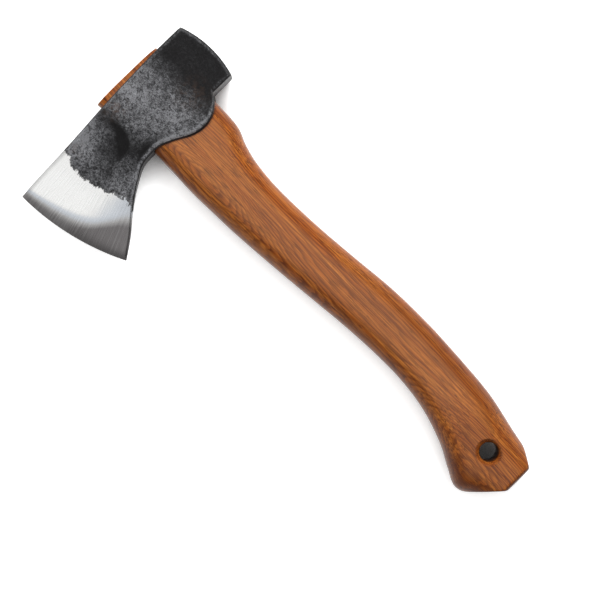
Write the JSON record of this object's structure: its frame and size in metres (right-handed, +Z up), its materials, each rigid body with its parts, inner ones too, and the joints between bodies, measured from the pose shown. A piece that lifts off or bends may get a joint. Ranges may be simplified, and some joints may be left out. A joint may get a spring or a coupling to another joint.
{
  "type": "hatchet",
  "caption": "Forest hatchet: forged steel head with a bearded, curved edge and rounded lugs, wedged on a swept hardwood handle with a drilled knob.",
  "frame": {"origin": "on the supporting surface, under the middle of the outline's box, with the hatchet lying on one cheek", "axes": "+X from the knob to the head along the handle, +Y from the poll to the cutting edge, +Z up out of the upper cheek"},
  "size_m": [0.336, 0.143, 0.03],
  "materials": {
    "forged_steel": "dark forge scale on the poll and cheeks, ground and brushed bright towards the edge",
    "handle_wood": "linseed-oiled hickory, satin",
    "wedge_wood": "plain sawn hardwood, oiled end grain",
    "ring_steel": "plain drawn steel tube"
  },
  "bodies": {
    "root": {"head": "forged_steel", "handle": "handle_wood", "wooden_wedge": "wedge_wood", "ring_wedge": "ring_steel"}
  },
  "joints": []
}
